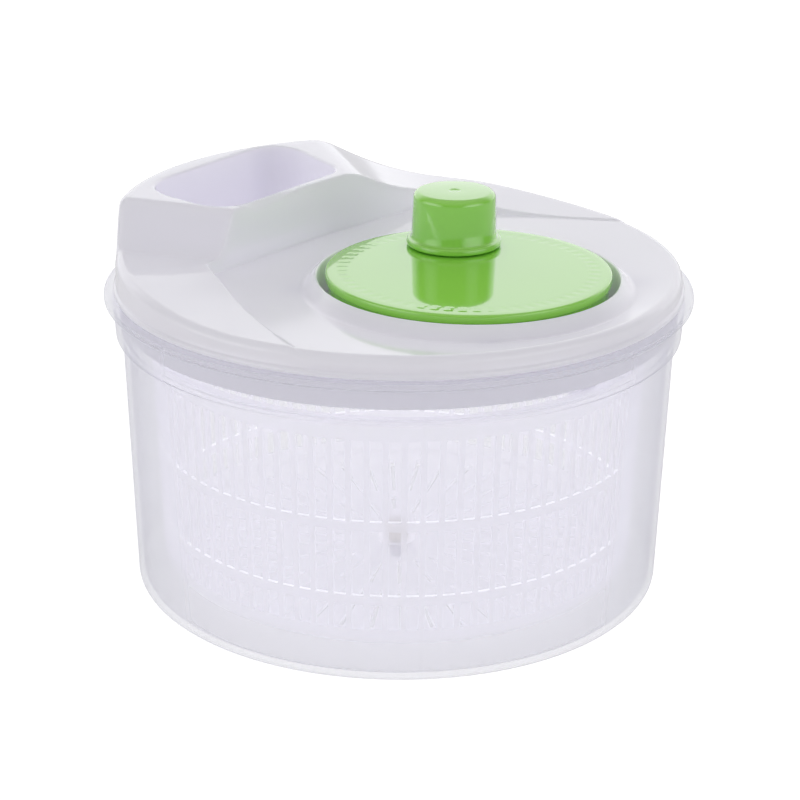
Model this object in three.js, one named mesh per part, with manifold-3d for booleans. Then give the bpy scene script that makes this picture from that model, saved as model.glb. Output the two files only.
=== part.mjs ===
// A hand-cranked salad spinner: a clear bowl, a slotted basket, and a white lid that carries a
// green crank disc, whose internal gear turns the basket through a small pinion.
// Millimetres, +Z up. The origin is the centre of the bowl's underside, and +X points from the
// lid's filling port to the crank disc.
import * as THREE from "three";
import { mergeVertices } from "three/addons/utils/BufferGeometryUtils.js";
import Module from "manifold-3d";

const wasm = await Module();
wasm.setup();

// ---------- Driving dimensions ----------

const DEG = Math.PI / 180;
const SKIN = 2.2; // moulded wall thickness
const ROUND = 48; // facets of a large round part
const SMALL_ROUND = 16; // facets of a small round part
const GAP = 0.3; // between pieces that touch

const BOWL = {
  height: 128.9,
  foot: 111.7,
  wall: 115.2,
  collar: 118.4,
  rim: 122.4,
  step: 110.4, // height at which the wall widens into the collar
  fillet: 5,
};
const BOSS = { radius: 7, top: 8.5, floor: 3.6 };
const PIN = { radius: 2.5, top: 17 };

const BASKET = { floor: 12, foot: 98.6, top: 102, rim: 107, rimZ: 108.4, height: 111 };
const BASKET_WALL = 1.8;
const WINDOWS = { count: 18, width: 20, rows: [[18, 28.6], [32.6, 60.8], [64.8, 99]] };
const FLOOR_SLOTS = { count: 9, inner: 30, outer: 84, width: 3 };
const HUB = { bore: 5.3, radius: 8.2, top: 22.4 };

const LID = {
  bottom: 129.2,
  bead: 118.3,
  beadTop: 131.6,
  radius: 117.3,
  plug: 115.3, // the ring that centres the lid in the bowl
  plugInner: 113.1,
  plugZ: 116.5,
};
const DECK = { rim: 138.5, dish: 3.3, edge: 3.5, humpLift: 2.6 };
const TERRACE = { rise: 5, from: 78 * DEG, span: 45 * DEG };
const HUMP = { top: 162, wallX: -44.6, bow: 2, bowSpan: 46, draft: 9 };
const FRONT_WALL = { at: [-45.9, -49.2], normal: [0.349, -0.937], slope: 1.55, blend: 3 };
const BACK_RAMP = { at: [-46.2, 24.7], normal: [0.563, 0.827], slope: 0.51, blend: 12 };
const TAIL_ANGLE = 25 * DEG; // of the two creases that run from the hump to the rim
const TAIL = { front: 80.5, back: 84 }; // their distances from the bowl's axis

// The filling port's corners: x, y and corner radius.
const PORT = [
  [-49.5, -53, 16],
  [-101.5, -51.5, 20],
  [-111, 45.5, 24],
  [-55.5, 26.5, 9],
];
const PORT_TUBE = { bottom: 121, wall: 2 };
const PORT_CURVE = 5; // facets of each of its corners

const MODULE = 1.75;
const RING_TEETH = 60;
const PINION_TEETH = 18;
const PRESSURE = 20 * DEG;
const BACKLASH = 0.32;
// The crank disc's axis, along +X from the bowl's.
const OFFSET = (MODULE * (RING_TEETH - PINION_TEETH)) / 2;

const COLLAR = { bore: 61.3, crest: 62.5, foot: 67.3, top: 140.4, bottom: 126.4, wall: 2.2 };
const DISC = { radius: 58.2, top: 142.6, thickness: 3.8, ring: 57.2, ringBottom: 130.6, edge: 0.8 };
const DISC_UNDER = DISC.top - DISC.thickness;
const DISC_SEAM = DISC_UNDER + 0.5; // height inside the plate to which its lower features reach
const STUB = { radius: 4.5, bottom: 123.3, hub: 9, hubBottom: 134.9, pilot: 1.8, pilotTop: 134 };
const TRAY = { top: 126.1, bottom: 123.9, radius: 65.5, tube: 8.6, tubeTop: 133, tubeBore: 6.1, ear: 7.5 };
const EAR_CIRCLE = 71.5; // radius of the four tray screws, about the disc's axis
const EAR_ANGLES = [45, 135, 225, 315];
const EAR_BOSS = { radius: 4.4, bore: 1.9, depth: 6.4 };

const KNOB = {
  x: -26, // from the disc's axis
  y: 22.7,
  radius: 17.6,
  bead: 19.9,
  beadTop: 145.3,
  bottom: 143.1,
  top: 166,
  fillet: 3,
  wall: 2.2,
};
const POST = { radius: 8, bore: 5.2, shelf: 148.5, top: 151, screwHole: 2.1 };
const SLEEVE = { bore: 8.35, radius: 10.3, bottom: 144.4 };
const PEG = { radius: 4.5, bottom: 151.4, pilot: 1.7, pilotTop: 161 };

const SHAFT = { radius: 3.6, flat: 2.6, bottom: 111, top: 138.1, clearance: 0.3 };
const PINION = { bottom: 128.5, top: 136.4 };
const CLIP = { bottom: 136.7, top: 137.5, radius: 6.4 };
const SHAFT_BUSH = { bore: 3.95, radius: 5.3, flange: 7.6, bottom: 123.3, top: 127.9 };
const SPIDER = {
  hub: 9.5,
  hubBottom: 110.6,
  hubTop: 122.4,
  armBottom: 113.6,
  armTop: 117,
  arm: 12,
  reach: 97.4,
  lug: 5,
  lugBottom: 104.6,
  stiffener: 2.4,
};
const RIB = { width: 3, depth: 6, bottom: 96, gap: 1 };
const ARMS = 3;

const TRAY_SCREW = { head: 3.6, headHeight: 2.1, shank: 1.5, seat: TRAY.bottom - GAP, tip: TRAY.top + 6 };
const DISC_SCREW = { head: 3.8, headHeight: 2.1, shank: 1.5, seat: 121.6, tip: 133 };
const DISC_WASHER = { bore: 2.1, radius: 8.2, thickness: 1.1 };
const KNOB_SCREW = { head: 3.6, headHeight: 2, shank: 1.4, seat: 146.7, tip: 160 };
const KNOB_WASHER = { bore: 1.9, radius: 4.8, thickness: 1 };
const SPIDER_SCREW = { head: 3.6, headHeight: 2.1, shank: 1.4, seat: 108.9, tip: 120 };
const SPIDER_WASHER = { bore: 1.9, radius: 7.4, thickness: 1.1 };

// ---------- Solids ----------

// A closed three.js geometry as a solid that can be joined and cut.
function solid(geometry) {
  const bare = new THREE.BufferGeometry();
  const source = geometry.index ? geometry.toNonIndexed() : geometry;
  bare.setAttribute("position", source.getAttribute("position"));
  const merged = mergeVertices(bare, 1e-4);
  const corners = merged.index.array;
  const kept = [];
  for (let i = 0; i < corners.length; i += 3) {
    const [a, b, c] = [corners[i], corners[i + 1], corners[i + 2]];
    if (a !== b && b !== c && c !== a) kept.push(a, b, c);
  }
  const mesh = new wasm.Mesh({
    numProp: 3,
    vertProperties: new Float32Array(merged.attributes.position.array),
    triVerts: new Uint32Array(kept),
  });
  return new wasm.Manifold(mesh);
}

// The three.js geometry of a solid.
function geometryOf(body) {
  const mesh = body.getMesh();
  const geometry = new THREE.BufferGeometry();
  const positions = new Float32Array(mesh.vertProperties);
  geometry.setAttribute("position", new THREE.BufferAttribute(positions, 3));
  geometry.setIndex(new THREE.BufferAttribute(new Uint32Array(mesh.triVerts), 1));
  geometry.computeVertexNormals();
  return geometry;
}

// A turned solid: [radius, z] points, anticlockwise seen with +r to the right and +Z up.
function turned(profile, facets = ROUND, x = 0, y = 0) {
  const points = profile.map(([radius, z]) => new THREE.Vector2(Math.max(radius, 0), z));
  const open = profile[0][0] > 0 || profile.at(-1)[0] > 0;
  if (open) points.push(points[0].clone());
  return solid(new THREE.LatheGeometry(points, facets).rotateX(Math.PI / 2).translate(x, y, 0));
}

// A plain disc or cylinder between two heights.
function rod(radius, low, high, x = 0, y = 0, facets = SMALL_ROUND) {
  return turned([[0, low], [radius, low], [radius, high], [0, high]], facets, x, y);
}

// A tube or washer between two heights.
function tube(inner, outer, low, high, x = 0, y = 0, facets = SMALL_ROUND) {
  return turned([[inner, low], [outer, low], [outer, high], [inner, high]], facets, x, y);
}

// A flat shape raised between two heights.
function prism(shape, low, high, curveSegments = 8) {
  const options = { depth: high - low, bevelEnabled: false, curveSegments };
  return solid(new THREE.ExtrudeGeometry(shape, options).translate(0, 0, low));
}

// A box that starts at `near` on the X axis, turned about +Z.
function bar(near, far, width, low, high, angle = 0) {
  const block = new THREE.BoxGeometry(far - near, width, high - low);
  block.translate((near + far) / 2, 0, (low + high) / 2);
  return solid(block.rotateZ(angle));
}

const joined = (parts) => parts.reduce((all, part) => all.add(part));
const turns = (count) => Array.from({ length: count }, (_, i) => (2 * Math.PI * i) / count);

// A polygon with a radius at each corner: [x, y, radius] points, anticlockwise or clockwise.
function roundedPolygon(corners, grow = 0) {
  const shape = new THREE.Shape();
  const mean = (axis) => corners.reduce((sum, corner) => sum + corner[axis], 0) / corners.length;
  const centre = [mean(0), mean(1)];
  corners.forEach(([x, y, radius], i) => {
    const here = new THREE.Vector2(x, y);
    const step = (other) => {
      const way = new THREE.Vector2(other[0], other[1]).sub(here).normalize();
      return way.multiplyScalar(radius);
    };
    const before = here.clone().add(step(corners.at(i - 1)));
    const after = here.clone().add(step(corners[(i + 1) % corners.length]));
    const out = (point) => {
      const way = new THREE.Vector2(point.x - centre[0], point.y - centre[1]).normalize();
      return point.clone().addScaledVector(way, grow);
    };
    const [a, b, c] = [before, here, after].map(out);
    if (i === 0) shape.moveTo(a.x, a.y);
    else shape.lineTo(a.x, a.y);
    shape.quadraticCurveTo(b.x, b.y, c.x, c.y);
  });
  shape.closePath();
  return shape;
}

// ---------- The lid's skin ----------

const clamp = (t) => Math.min(1, Math.max(0, t));
const ease = (t) => clamp(t) ** 2 * (3 - 2 * clamp(t));
const softMax = (a, b, k) => Math.max(a, b) + (k / 4) * Math.max(0, 1 - Math.abs(a - b) / k) ** 2;
const softMin = (a, b, k) => -softMax(-a, -b, k);

// How far (x, y) is beyond the foot of the wall and creases that border the inner deck.
function beyondDeck(x, y) {
  const wall = HUMP.wallX - HUMP.bow * (1 - (y / HUMP.bowSpan) ** 2) - x;
  const out = -Math.sin(TAIL_ANGLE) * x + Math.cos(TAIL_ANGLE) * Math.abs(y);
  return Math.max(wall, out - (y < 0 ? TAIL.front : TAIL.back));
}

// A sloping face that passes through the hump's top edge.
function slopeHeight(face, x, y, skin) {
  const out = (x - face.at[0]) * face.normal[0] + (y - face.at[1]) * face.normal[1];
  return HUMP.top - face.slope * out - skin * Math.hypot(1, face.slope);
}

// Height of the lid's top skin; `skin` above 0 gives its inner face.
function lidHeight(x, y, skin = 0) {
  const radius = Math.hypot(x, y);
  const fromCollar = Math.max(0, Math.hypot(x - OFFSET, y) - COLLAR.foot);
  const toRim = Math.max(0, LID.radius - radius);
  const dish = DECK.dish * (1 - fromCollar / (fromCollar + toRim + 1e-6));
  const deck = DECK.rim - dish + DECK.humpLift * ease((-x - 10) / 35) * clamp(toRim / 40) - skin;
  const azimuth = Math.abs(Math.atan2(y, x));
  const terrace = deck + TERRACE.rise * ease((azimuth - TERRACE.from) / TERRACE.span);
  const front = slopeHeight(FRONT_WALL, x, y, skin);
  const back = slopeHeight(BACK_RAMP, x, y, skin);
  const hump = softMin(HUMP.top - skin, softMin(front, back, 2), 2);
  const outer = softMax(terrace, hump, y < 0 ? FRONT_WALL.blend : BACK_RAMP.blend);
  const wall = deck + HUMP.draft * (beyondDeck(x, y) - skin);
  const height = softMax(deck, softMin(outer, wall, 2.5), 1.5);
  const overEdge = clamp((radius + skin - LID.radius + DECK.edge) / DECK.edge);
  return height - DECK.edge * (1 - Math.sqrt(1 - overEdge ** 2));
}

// Distance from the bowl's axis at which a ray meets a circle about the disc's axis.
function rayToDiscCircle(angle, radius) {
  const along = OFFSET * Math.cos(angle);
  return along + Math.sqrt(radius ** 2 - OFFSET ** 2 + along ** 2);
}

// Distance from the bowl's axis at which a ray leaves the inner deck.
function rayToDeckEdge(angle) {
  let near = 40;
  let far = LID.radius;
  for (let i = 0; i < 20; i += 1) {
    const middle = (near + far) / 2;
    if (beyondDeck(middle * Math.cos(angle), middle * Math.sin(angle)) > 0) far = middle;
    else near = middle;
  }
  return near;
}

// Azimuths of the lid's sections: close together round the hump's steep front wall.
function lidAzimuths() {
  const spans = [[-180, -152, 7], [-152, -126, 2], [-126, -102, 6], [-102, 102, 12], [102, 180, 6]];
  return spans.flatMap(([from, to, step]) => {
    const count = Math.round((to - from) / step);
    return Array.from({ length: count }, (_, i) => (from + i * step) * DEG);
  });
}

// The lid's wall, plug and skin as one ring, from a closed section at each azimuth.
function lidRing() {
  const sections = lidAzimuths().map((angle) => {
    const at = (radius, skin) => {
      const [x, y] = [radius * Math.cos(angle), radius * Math.sin(angle)];
      return [radius, lidHeight(x, y, skin)];
    };
    const inner = rayToDiscCircle(angle, COLLAR.foot - 1.6);
    const foot = Math.min(rayToDeckEdge(angle), LID.radius - 8);
    const middle = (inner + foot) / 2;
    const step = Math.min(3, (LID.radius - 6 - foot) / 2);
    const land = LID.radius - 4 - (foot + step);
    const radii = [inner, middle, foot, foot + step, foot + step + land / 2, LID.radius - 4];
    const top = [...radii, LID.radius - 1, LID.radius - 0.01].map((radius) => at(radius, 0));
    const side = [
      [LID.radius, LID.beadTop],
      [LID.bead, LID.beadTop - 0.6],
      [LID.bead, LID.bottom],
      [LID.plug, LID.bottom],
      [LID.plug, LID.plugZ],
      [LID.plugInner, LID.plugZ],
    ];
    const underRadii = [LID.plugInner, foot + step + land / 2, foot + step, foot, inner];
    const under = underRadii.map((radius) => at(radius, SKIN));
    under[0][1] = Math.min(under[0][1], under[1][1]);
    const [cos, sin] = [Math.cos(angle), Math.sin(angle)];
    return [...top, ...side, ...under].map(([radius, z]) => [radius * cos, radius * sin, z]);
  });
  const positions = sections.flat(2);
  const size = sections[0].length;
  const indices = [];
  sections.forEach((_, i) => {
    const next = (i + 1) % sections.length;
    for (let j = 0; j < size; j += 1) {
      const k = (j + 1) % size;
      const [a, b, c, d] = [i * size + j, i * size + k, next * size + k, next * size + j];
      indices.push(a, b, c, a, c, d);
    }
  });
  const geometry = new THREE.BufferGeometry();
  geometry.setAttribute("position", new THREE.Float32BufferAttribute(positions, 3));
  geometry.setIndex(indices);
  return solid(geometry);
}

// ---------- Gears and fasteners ----------

// Outline of a spur gear; `thickness` is the tooth's width along the pitch circle.
function gearOutline({ teeth, tip, root, thickness, steps, turn = 0 }) {
  const pitch = (MODULE * teeth) / 2;
  const base = pitch * Math.cos(PRESSURE);
  const involute = (radius) => {
    const angle = Math.acos(Math.min(1, base / radius));
    return Math.tan(angle) - angle;
  };
  const halfAtPitch = thickness / (2 * pitch) + involute(pitch);
  const half = (radius) => halfAtPitch - involute(Math.max(radius, base));
  const radii = Array.from({ length: steps }, (_, i) => root + ((tip - root) * i) / (steps - 1));
  const points = [];
  for (let tooth = 0; tooth < teeth; tooth += 1) {
    const middle = turn + (2 * Math.PI * tooth) / teeth;
    const add = (radius, angle) => {
      points.push(new THREE.Vector2(radius * Math.cos(angle), radius * Math.sin(angle)));
    };
    radii.forEach((radius) => add(radius, middle - half(radius)));
    [...radii].reverse().forEach((radius) => add(radius, middle + half(radius)));
  }
  return points;
}

// A circle with one flat, for the drive shaft and the bores that it turns.
function flattedCircle(radius, flat) {
  const start = Math.acos(flat / radius);
  const shape = new THREE.Shape();
  shape.absarc(0, 0, radius, start, 2 * Math.PI - start, false);
  shape.closePath();
  return shape;
}

// A pan-head screw that points up, with a cross recess in its head.
function screw({ head, headHeight, shank, seat, tip }, x = 0, y = 0) {
  const low = seat - headHeight;
  const profile = [
    [0, low],
    [head * 0.8, low],
    [head, low + 0.7],
    [head, seat],
    [shank, seat],
    [shank, tip - 1],
    [0, tip],
  ];
  const reach = head * 0.55;
  const slot = 0.9; // width and depth of the recess
  const recess = [0, Math.PI / 2].map((angle) => bar(-reach, reach, slot, low - 1, low + slot, angle));
  return turned(profile, 10).subtract(joined(recess)).translate([x, y, 0]);
}

// A washer that lies between a screw's head and the piece that it holds.
function washer({ bore, radius, thickness }, { seat }, x = 0, y = 0) {
  return tube(bore, radius, seat + GAP, seat + GAP + thickness, x, y);
}

// ---------- Pieces ----------

// Where a tray screw stands.
function earPlace(angle) {
  return [OFFSET + EAR_CIRCLE * Math.cos(angle * DEG), EAR_CIRCLE * Math.sin(angle * DEG)];
}

function bowl() {
  const { height, foot, wall, collar, rim, step, fillet } = BOWL;
  const draftFrom = 8;
  const drafted = (z) => foot + ((wall - foot) * (z - draftFrom)) / (step - draftFrom);
  const corner = [0, 45, 90].map((a) => [
    drafted(fillet) - fillet + fillet * Math.sin(a * DEG),
    fillet - fillet * Math.cos(a * DEG),
  ]);
  const outside = [
    [0, 0],
    ...corner,
    [wall, step],
    [collar - 0.4, step + 1],
    [collar + 0.4, height - 3.4],
    [rim, height - 2.4],
    [rim, height],
  ];
  const inside = [
    [collar - 1.8, height],
    [collar - 2.6, step + 2.4],
    [wall - SKIN, step + 0.6],
    [foot - SKIN, draftFrom],
    [foot - SKIN - 1.8, 3.8],
    [foot - SKIN - 4.4, SKIN],
  ];
  const boss = [
    [BOSS.radius + 2, SKIN],
    [BOSS.radius, BOSS.top],
    [PIN.radius + GAP, BOSS.top],
    [PIN.radius + GAP, BOSS.floor],
    [0, BOSS.floor],
  ];
  return turned([...outside, ...inside, ...boss], ROUND);
}

function pivotPin() {
  const { radius, top } = PIN;
  const foot = BOSS.floor + GAP;
  const profile = [
    [0, foot],
    [radius, foot],
    [radius, top - 1.5],
    [radius * 0.6, top - 0.3],
    [0, top],
  ];
  return turned(profile, SMALL_ROUND);
}

function basket() {
  const { floor, foot, top, rim, rimZ, height } = BASKET;
  const outside = [
    [0, floor],
    [foot - 4, floor],
    [foot - 1, floor + 1.4],
    [foot, floor + 4],
    [top, rimZ],
    [rim, rimZ],
    [rim, height - 0.6],
    [rim - 0.8, height],
  ];
  const inside = [
    [top - BASKET_WALL, height],
    [foot - BASKET_WALL, floor + 4.6],
    [foot - 4.6, floor + BASKET_WALL],
    [0, floor + BASKET_WALL],
  ];
  const shell = turned([...outside, ...inside], WINDOWS.count * 2);
  const windows = turns(WINDOWS.count).flatMap((angle) => {
    const middle = angle + Math.PI / WINDOWS.count;
    return WINDOWS.rows.map(([low, high]) => bar(foot - 8, top + 4, WINDOWS.width, low, high, middle));
  });
  const slots = turns(FLOOR_SLOTS.count).map((angle) => {
    const { inner, outer, width } = FLOOR_SLOTS;
    return bar(inner, outer, width, floor - 1, floor + 4, angle);
  });
  const hub = rod(HUB.radius, floor, HUB.top).subtract(rod(HUB.bore, floor - 1, HUB.top - SKIN));
  const ribs = turns(ARMS).flatMap((angle) => [-1, 1].map((side) => {
    const shift = side * (SPIDER.arm / 2 + RIB.gap + RIB.width / 2);
    const rib = new THREE.BoxGeometry(RIB.depth, RIB.width, rimZ - RIB.bottom);
    rib.translate(top - BASKET_WALL - RIB.depth / 2 + 1, shift, (rimZ + RIB.bottom) / 2);
    return solid(rib.rotateZ(angle));
  }));
  const open = shell.subtract(rod(HUB.bore, floor - 1, floor + 4)).subtract(joined([...windows, ...slots]));
  return joined([open, hub, ...ribs]);
}

function basketBush() {
  const bore = PIN.radius + 0.35;
  const outer = HUB.bore - GAP;
  const foot = BASKET.floor + 0.4;
  const roof = HUB.top - SKIN - GAP;
  const ceiling = PIN.top + 0.4;
  const profile = [
    [bore, foot],
    [outer, foot],
    [outer, roof],
    [0, roof],
    [0, ceiling],
    [bore, ceiling],
  ];
  return turned(profile, SMALL_ROUND);
}

function lid() {
  const { bore, crest, foot, top, bottom, wall } = COLLAR;
  const skirt = bore + wall;
  const profile = [
    [bore, bottom],
    [skirt, bottom],
    [skirt, top - 8],
    [foot, top - 8],
    [foot, top - 5.2],
    [crest, top],
    [bore, top],
  ];
  const collar = turned(profile, ROUND, OFFSET);
  const { bottom: portBottom, wall: portWall } = PORT_TUBE;
  const chimney = prism(roundedPolygon(PORT, portWall), portBottom, HUMP.top - 1, PORT_CURVE);
  const hole = prism(roundedPolygon(PORT), portBottom - 10, HUMP.top + 10, PORT_CURVE);
  const bosses = EAR_ANGLES.map((angle) => {
    const [x, y] = earPlace(angle);
    const { radius, bore: pilot, depth } = EAR_BOSS;
    const boss = rod(radius, TRAY.top + GAP, lidHeight(x, y) - 1, x, y, 8);
    return boss.subtract(rod(pilot, TRAY.top - 1, TRAY.top + depth, x, y, 8));
  });
  return joined([lidRing(), collar, chimney, ...bosses]).subtract(hole);
}

function gearTray() {
  const plate = rod(TRAY.radius, TRAY.bottom, TRAY.top, OFFSET, 0, ROUND);
  const ears = EAR_ANGLES.map((angle) => rod(TRAY.ear, TRAY.bottom, TRAY.top, ...earPlace(angle)));
  const bearing = rod(TRAY.tube, TRAY.bottom, TRAY.tubeTop, OFFSET, 0);
  const [under, over] = [TRAY.bottom - 1, TRAY.top + 1];
  const holes = [
    rod(TRAY.tubeBore, under, TRAY.tubeTop + 1, OFFSET, 0),
    rod(SHAFT_BUSH.radius + GAP, under, over),
    ...EAR_ANGLES.map((angle) => rod(EAR_BOSS.bore, under, over, ...earPlace(angle), 12)),
  ];
  return joined([plate, ...ears, bearing]).subtract(joined(holes));
}

function discBush() {
  const outer = TRAY.tubeBore - GAP;
  const bore = STUB.radius + GAP;
  const flange = TRAY.tube - 0.4;
  const foot = TRAY.bottom + 0.2;
  const seat = TRAY.tubeTop + GAP;
  const top = TRAY.tubeTop + 1.5;
  const profile = [
    [bore, foot],
    [outer, foot],
    [outer, seat],
    [flange, seat],
    [flange, top],
    [bore, top],
  ];
  return turned(profile, SMALL_ROUND, OFFSET);
}

function crankDisc() {
  const { radius, top, ring, ringBottom, edge } = DISC;
  const plate = turned([
    [0, DISC_UNDER],
    [radius, DISC_UNDER],
    [radius, top - edge],
    [radius - edge, top],
    [0, top],
  ]);
  const rim = new THREE.Shape();
  rim.absarc(0, 0, ring, 0, 2 * Math.PI, false);
  const thickness = (Math.PI * MODULE) / 2 + BACKLASH;
  const pitch = (MODULE * RING_TEETH) / 2;
  const space = {
    teeth: RING_TEETH,
    tip: pitch + 1.25 * MODULE,
    root: pitch - 0.85 * MODULE,
    thickness,
    steps: 2,
    turn: Math.PI,
  };
  rim.holes.push(new THREE.Path(gearOutline(space)));
  const teeth = prism(rim, ringBottom, DISC_SEAM, 18);
  const hub = rod(STUB.hub, STUB.hubBottom, DISC_SEAM);
  const stub = rod(STUB.radius, STUB.bottom, DISC_SEAM);
  const post = rod(POST.radius, DISC_SEAM, POST.top, KNOB.x, KNOB.y);
  const holes = [
    rod(STUB.pilot, STUB.bottom - 1, STUB.pilotTop, 0, 0, 12),
    rod(POST.bore, DISC_UNDER - 1, POST.shelf, KNOB.x, KNOB.y),
    rod(POST.screwHole, POST.shelf - 1, POST.top + 1, KNOB.x, KNOB.y, 12),
  ];
  return joined([plate, teeth, hub, stub, post]).subtract(joined(holes)).translate([OFFSET, 0, 0]);
}

function knob() {
  const { radius, bead, beadTop, bottom, top, fillet, wall } = KNOB;
  const crown = [0, 45, 90].map((a) => [
    radius - 0.4 - fillet + fillet * Math.cos(a * DEG),
    top - fillet + fillet * Math.sin(a * DEG),
  ]);
  const outside = [[bead, bottom], [bead, beadTop - 0.6], [radius + 0.4, beadTop], ...crown, [0, top]];
  const roof = top - wall;
  const hollow = [[0, roof - 0.6], [radius - wall - 1, roof - 0.6], [radius - wall, bottom]];
  const shell = turned([...outside, ...hollow], 28);
  const sleeve = tube(SLEEVE.bore, SLEEVE.radius, SLEEVE.bottom, roof);
  const pilot = rod(PEG.pilot, PEG.bottom - 1, PEG.pilotTop, 0, 0, 12);
  const peg = rod(PEG.radius, PEG.bottom, roof).subtract(pilot);
  return joined([shell, sleeve, peg]).translate([OFFSET + KNOB.x, KNOB.y, 0]);
}

function pinion() {
  const pitch = (MODULE * PINION_TEETH) / 2;
  const thickness = (Math.PI * MODULE) / 2 - BACKLASH;
  const outline = gearOutline({
    teeth: PINION_TEETH,
    tip: pitch + 0.9 * MODULE,
    root: pitch - 1.2 * MODULE,
    thickness,
    steps: 4,
    turn: Math.PI,
  });
  const gear = prism(new THREE.Shape(outline), PINION.bottom, PINION.top);
  const bore = flattedCircle(SHAFT.radius + SHAFT.clearance, SHAFT.flat + SHAFT.clearance);
  return gear.subtract(prism(bore, PINION.bottom - 1, PINION.top + 1, SMALL_ROUND));
}

function driveShaft() {
  const shaft = prism(flattedCircle(SHAFT.radius, SHAFT.flat), SHAFT.bottom, SHAFT.top, SMALL_ROUND);
  return shaft.subtract(rod(1.7, SHAFT.bottom - 1, SHAFT.bottom + 10, 0, 0, 12));
}

function shaftBush() {
  const { bore, radius, flange, bottom, top } = SHAFT_BUSH;
  const seat = TRAY.top + GAP;
  const profile = [
    [bore, bottom],
    [radius, bottom],
    [radius, seat],
    [flange, seat],
    [flange, top],
    [bore, top],
  ];
  return turned(profile, SMALL_ROUND);
}

function shaftClip() {
  const ring = tube(SHAFT.radius + GAP, CLIP.radius, CLIP.bottom, CLIP.top);
  return ring.subtract(bar(1, 10, 3.4, CLIP.bottom - 1, CLIP.top + 1));
}

function driveSpider() {
  const { hub, hubBottom, hubTop, armBottom, armTop, arm, reach, lug, lugBottom, stiffener } = SPIDER;
  const arms = turns(ARMS).flatMap((angle) => [
    bar(4, reach, arm, armBottom, armTop, angle),
    bar(reach - lug, reach, arm, lugBottom, armBottom + 0.5, angle),
    bar(4, reach - 20, stiffener, armTop - 0.5, armTop + 1.5, angle),
  ]);
  const boss = rod(hub, hubBottom, hubTop, 0, 0);
  const bore = flattedCircle(SHAFT.radius + SHAFT.clearance, SHAFT.flat + SHAFT.clearance);
  return joined([boss, ...arms]).subtract(prism(bore, hubBottom - 1, hubTop + 1, SMALL_ROUND));
}

// ---------- Materials ----------

const finish = (color, roughness, metalness = 0, opacity = 1) => {
  const clear = opacity < 1;
  return new THREE.MeshStandardMaterial({ color, roughness, metalness, opacity, transparent: clear });
};
const clearPlastic = () => finish(0xe9e8f2, 0.3, 0, 0.45);
const whitePlastic = () => finish(0xf1f0f6, 0.12);
const greenPlastic = () => finish(0x84c156, 0.12);
const bearingPlastic = () => finish(0xe8e4d8, 0.35);
const steel = () => finish(0xb9bcc0, 0.3, 1);

// ---------- Assembly ----------

const salad_spinner = new THREE.Group();

function place(name, body, material) {
  const mesh = new THREE.Mesh(geometryOf(body), material);
  mesh.name = name;
  salad_spinner.add(mesh);
}

place("bowl", bowl(), clearPlastic());
place("pivot_pin", pivotPin(), steel());
place("basket", basket(), clearPlastic());
place("basket_bush", basketBush(), bearingPlastic());

place("lid", lid(), whitePlastic());
place("gear_tray", gearTray(), whitePlastic());
EAR_ANGLES.forEach((angle, i) => {
  place(`tray_screw_${i + 1}`, screw(TRAY_SCREW, ...earPlace(angle)), steel());
});
place("disc_bush", discBush(), bearingPlastic());
place("shaft_bush", shaftBush(), bearingPlastic());

place("crank_disc", crankDisc(), greenPlastic());
place("disc_washer", washer(DISC_WASHER, DISC_SCREW, OFFSET), steel());
place("disc_screw", screw(DISC_SCREW, OFFSET), steel());

place("knob", knob(), greenPlastic());
place("knob_washer", washer(KNOB_WASHER, KNOB_SCREW, OFFSET + KNOB.x, KNOB.y), steel());
place("knob_screw", screw(KNOB_SCREW, OFFSET + KNOB.x, KNOB.y), steel());

place("pinion", pinion(), bearingPlastic());
place("drive_shaft", driveShaft(), steel());
place("shaft_clip", shaftClip(), steel());
place("drive_spider", driveSpider(), whitePlastic());
place("spider_washer", washer(SPIDER_WASHER, SPIDER_SCREW), steel());
place("spider_screw", screw(SPIDER_SCREW), steel());

export default salad_spinner;
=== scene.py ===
"""A hand-cranked salad spinner: a clear bowl and basket under a glossy white lid with a green crank."""

import math

import bmesh
import bpy
from mathutils import Matrix, Vector


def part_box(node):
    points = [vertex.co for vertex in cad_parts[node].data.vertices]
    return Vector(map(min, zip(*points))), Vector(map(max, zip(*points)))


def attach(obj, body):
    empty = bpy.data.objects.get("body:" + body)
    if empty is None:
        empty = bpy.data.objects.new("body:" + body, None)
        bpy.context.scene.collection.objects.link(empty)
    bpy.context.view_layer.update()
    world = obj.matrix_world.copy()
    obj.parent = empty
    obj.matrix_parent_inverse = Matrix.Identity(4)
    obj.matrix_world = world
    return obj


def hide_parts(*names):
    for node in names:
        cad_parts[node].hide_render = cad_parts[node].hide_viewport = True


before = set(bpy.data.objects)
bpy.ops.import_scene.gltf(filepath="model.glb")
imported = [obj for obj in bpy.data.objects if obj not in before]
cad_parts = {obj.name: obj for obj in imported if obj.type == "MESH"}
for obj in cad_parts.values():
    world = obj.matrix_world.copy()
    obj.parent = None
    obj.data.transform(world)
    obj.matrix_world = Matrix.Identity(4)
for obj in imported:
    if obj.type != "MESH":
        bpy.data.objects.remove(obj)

MM = 0.001
TURN = 2 * math.pi
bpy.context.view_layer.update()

# ---------- Places and sizes, in millimetres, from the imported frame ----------


def span(node):
    """Lowest and highest corner of a node, in millimetres."""
    low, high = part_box(node)
    return low / MM, high / MM


def middle(node):
    """Centre of a node, in millimetres."""
    low, high = span(node)
    return (low + high) / 2


BOWL_HIGH = span("bowl")[1]
BASKET_LOW, BASKET_HIGH = span("basket")
KNOB_LOW, KNOB_HIGH = span("knob")
HUMP_TOP = span("lid")[1].z
DISC_AXIS = Vector((middle("disc_screw").x, middle("disc_screw").y))
KNOB_AXIS = Vector((middle("knob_screw").x, middle("knob_screw").y))

SKIN = 2.2  # moulded wall thickness

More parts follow.
